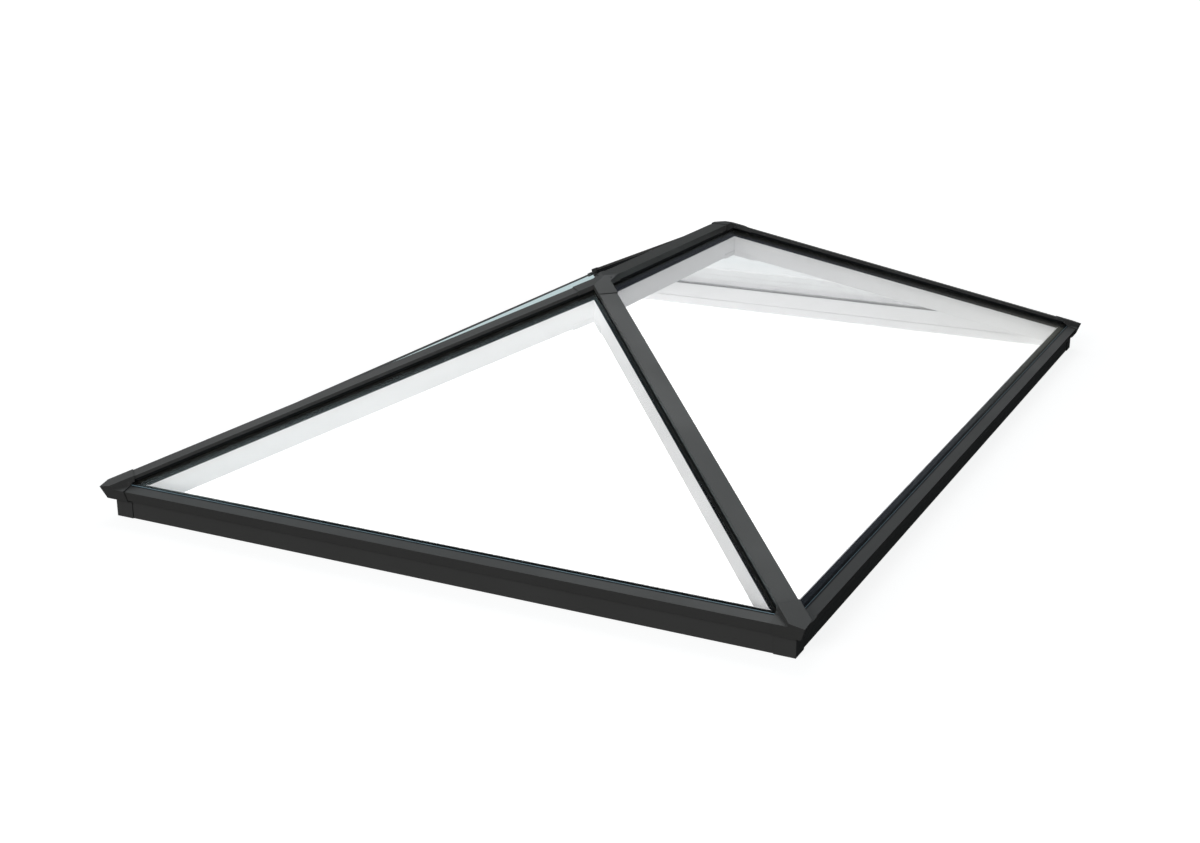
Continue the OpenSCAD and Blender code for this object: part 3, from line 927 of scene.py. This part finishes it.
    @staticmethod
    def choose(tree: bpy.types.NodeTree, last: bpy.types.NodeSocket,
               *choices: tuple[bpy.types.NodeSocket, bpy.types.NodeSocket]) -> bpy.types.NodeSocket:
        """Stacks shaders, each shown for its own share of the rays, the first choice on top.

        Args:
            tree: The node tree to add to.
            last: The shader for all the other rays.
            *choices: Pairs of share and shader.

        Returns:
            The output of the top shader.
        """
        for share, shader in reversed(choices):
            mix = add_node(tree, "ShaderNodeMixShader", {0: share, 1: last, 2: shader})
            last = mix.outputs["Shader"]
        return last

    def surround(self) -> None:
        """Lights the scene from a dim sky with soft boxes, which is plain white to the eye.

        Light that a matt surface gathers through the glass meets a smooth fill, which grows
        towards one side. Coats mirror the sky and its soft boxes, and the outside of the panes
        mirrors the bands of the sky alone.
        """
        world = bpy.data.worlds.new("surround")
        world.use_nodes = True
        tree = world.node_tree
        tree.nodes.clear()
        way = add_node(tree, "ShaderNodeTexCoord").outputs["Generated"]
        axes = (self.sky_axis, self.fill_axis, *(box[0] for box in self.soft_boxes))
        sky_lean, fill_lean, *box_leans = (
            add_node(tree, "ShaderNodeVectorMath", {0: way, 1: axis},
                     operation="DOT_PRODUCT").outputs["Value"] for axis in axes)
        # Half the lean and a half more, so that the bands run from 0 to 1.
        height = add_node(tree, "ShaderNodeMath", {0: sky_lean, 1: 0.5, 2: 0.5},
                          operation="MULTIPLY_ADD")
        ramp = add_node(tree, "ShaderNodeValToRGB", {"Fac": height.outputs["Value"]})
        stops = ramp.color_ramp.elements
        while len(stops) < len(self.sky_bands):
            stops.new(1.0)
        for stop, (place, shade) in zip(stops, self.sky_bands):
            stop.position, stop.color = place, linear(shade)
        sky = add_node(tree, "ShaderNodeBackground",
                       {"Color": ramp.outputs["Color"]}).outputs["Background"]
        edge, full = self.soft_box_edge
        for lean, box in zip(box_leans, self.soft_boxes):
            share = add_node(tree, "ShaderNodeMapRange",
                             {"Value": lean, "From Min": edge, "From Max": full},
                             interpolation_type="SMOOTHSTEP")
            level = add_node(tree, "ShaderNodeMath", {0: share.outputs["Result"], 1: box[1]},
                             operation="MULTIPLY")
            glow = add_node(tree, "ShaderNodeBackground",
                            {"Color": linear(WHITE), "Strength": level.outputs["Value"]})
            both = add_node(tree, "ShaderNodeAddShader", {0: sky, 1: glow.outputs["Background"]})
            sky = both.outputs["Shader"]
        raised = add_node(tree, "ShaderNodeMath", {0: fill_lean, 1: self.fill}, operation="ADD")
        even = add_node(tree, "ShaderNodeMath", {0: raised.outputs["Value"], 1: 0.0},
                        operation="MAXIMUM")
        fill = add_node(tree, "ShaderNodeBackground",
                        {"Color": linear(WHITE), "Strength": even.outputs["Value"]})
        white = add_node(tree, "ShaderNodeBackground", {"Color": linear(WHITE)})
        through = add_node(tree, "ShaderNodeBackground",
                           {"Color": linear(WHITE), "Strength": self.sky_through_glass})
        bands = add_node(tree, "ShaderNodeBackground",
                         {"Color": ramp.outputs["Color"], "Strength": self.sky_in_glass})
        shares = self.seen_shares(tree)
        surface = self.choose(tree, sky,
                              (shares["camera"], white.outputs["Background"]),
                              (shares["through"], through.outputs["Background"]),
                              (shares["mirrored"], bands.outputs["Background"]),
                              (shares["gathered"], fill.outputs["Background"]))
        add_node(tree, "ShaderNodeOutputWorld", {"Surface": surface})
        bpy.context.scene.world = world

    def floor_material(
        self, name: str, colour: str, room_glow: float, reach_x: float
    ) -> bpy.types.Material:
        """Builds a floor that is white to the eye where it is lit, and dull in the bars' sheen.

        Straight from the camera the floor is part glow and part paint, so that it keeps a faint
        shadow at the lantern's foot. The glow reaches white with the distance. In the sheen the
        floor is painted dark near the lantern, as its shade, and pale far off. Matt surfaces meet
        the paint and the light of the room below, which grows evenly from the left to the right.
        From below the floor is clear, so that the lantern's underside can be looked at.

        Args:
            name: The material's name.
            colour: The paint's colour.
            room_glow: Strength of the room's light at the right end.
            reach_x: Half the length over which the room's light grows.

        Returns:
            The new material.
        """
        material, tree, output = blank_material(name)
        place = add_node(tree, "ShaderNodeTexCoord").outputs["Object"]
        reach = add_node(tree, "ShaderNodeVectorMath", {0: place}, operation="LENGTH")
        far = add_node(tree, "ShaderNodeMapRange",
                       {"Value": reach.outputs["Value"], "From Min": self.near_and_far[0],
                        "From Max": self.near_and_far[1]}).outputs["Result"]
        strength = add_node(tree, "ShaderNodeMapRange",
                            {"Value": far, "To Min": self.floor_glow[0],
                             "To Max": self.floor_glow[1]})
        # In the sheen the floor is painted dark near the lantern, as its shade, and pale far off.
        shaded_near_sheen, far_sheen = self.floor_sheen
        sheen = add_node(tree, "ShaderNodeMix",
                         {"Factor": far, 6: linear(shaded_near_sheen), 7: linear(far_sheen)},
                         data_type="RGBA")
        paint = add_node(tree, "ShaderNodeBsdfDiffuse", {"Color": linear(colour)}).outputs["BSDF"]
        glow = add_node(tree, "ShaderNodeEmission",
                        {"Color": linear(WHITE), "Strength": strength.outputs["Result"]})
        lit = add_node(tree, "ShaderNodeAddShader", {0: paint, 1: glow.outputs["Emission"]})
        through = add_node(tree, "ShaderNodeEmission",
                           {"Color": linear(WHITE), "Strength": self.seen_through_glass})
        mirrored = add_node(tree, "ShaderNodeEmission", {"Color": linear(self.floor_mirrored)})
        dull = add_node(tree, "ShaderNodeEmission", {"Color": sheen.outputs[2]})
        across = add_node(tree, "ShaderNodeSeparateXYZ", {0: place}).outputs["X"]
        growth = add_node(tree, "ShaderNodeMapRange",
                          {"Value": across, "From Min": -reach_x, "From Max": reach_x,
                           "To Max": room_glow})
        room = add_node(tree, "ShaderNodeEmission",
                        {"Color": linear(WHITE), "Strength": growth.outputs["Result"]})
        plain = add_node(tree, "ShaderNodeAddShader", {0: paint, 1: room.outputs["Emission"]})
        shares = self.seen_shares(tree)
        from_below = add_node(tree, "ShaderNodeNewGeometry").outputs["Backfacing"]
        clear = add_node(tree, "ShaderNodeBsdfTransparent").outputs["BSDF"]
        surface = self.choose(tree, plain.outputs["Shader"],
                              (from_below, clear),
                              (shares["camera"], lit.outputs["Shader"]),
                              (shares["through"], through.outputs["Emission"]),
                              (shares["mirrored"], mirrored.outputs["Emission"]),
                              (shares["sheen"], dull.outputs["Emission"]))
        tree.links.new(surface, output.inputs["Surface"])
        return material

    def floor(self, sizes: LanternSizes) -> None:
        """Lays the grey floor, and a white sheet on it within the ring beam.

        Args:
            sizes: The lantern's sizes.
        """
        wide, inset = self.floor_half, self.sheet_inset
        plates = (("floor", wide, wide, self.floor_drop, self.floor_colour, 0.0),
                  ("sheet", sizes.half_length - inset, sizes.half_width - inset, self.sheet_drop,
                   self.sheet_colour, self.room_glow))
        for name, half_x, half_y, drop, colour, room_glow in plates:
            points = np.array([[-half_x, -half_y, -drop], [half_x, -half_y, -drop],
                               [half_x, half_y, -drop], [-half_x, half_y, -drop]])
            item = new_piece(name, points, [(0, 1, 2, 3)])
            dress(item, self.floor_material(f"pale_{name}", colour, room_glow, half_x))

    def build(self, sizes: LanternSizes) -> None:
        """Sets the camera, lamp, surround and floor, and a plain view transform.

        Args:
            sizes: The lantern's sizes.
        """
        self.camera()
        self.lamp()
        self.surround()
        self.floor(sizes)
        bpy.context.scene.view_settings.view_transform = "Standard"
        LOG.info("studio set")


def main() -> None:
    """Loads the frame, dresses it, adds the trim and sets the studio."""
    logging.basicConfig(level=logging.INFO, format="%(name)s: %(message)s")
    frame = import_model()
    materials = Finishes().materials()
    sizes = LanternSizes.from_frame()
    Frame(frame["nodes"]).dress_all(materials)
    EavesTrim(sizes).build(materials)
    SealLips(sizes).build(materials)
    Studio().build(sizes)


if __name__ == "__main__":
    main()
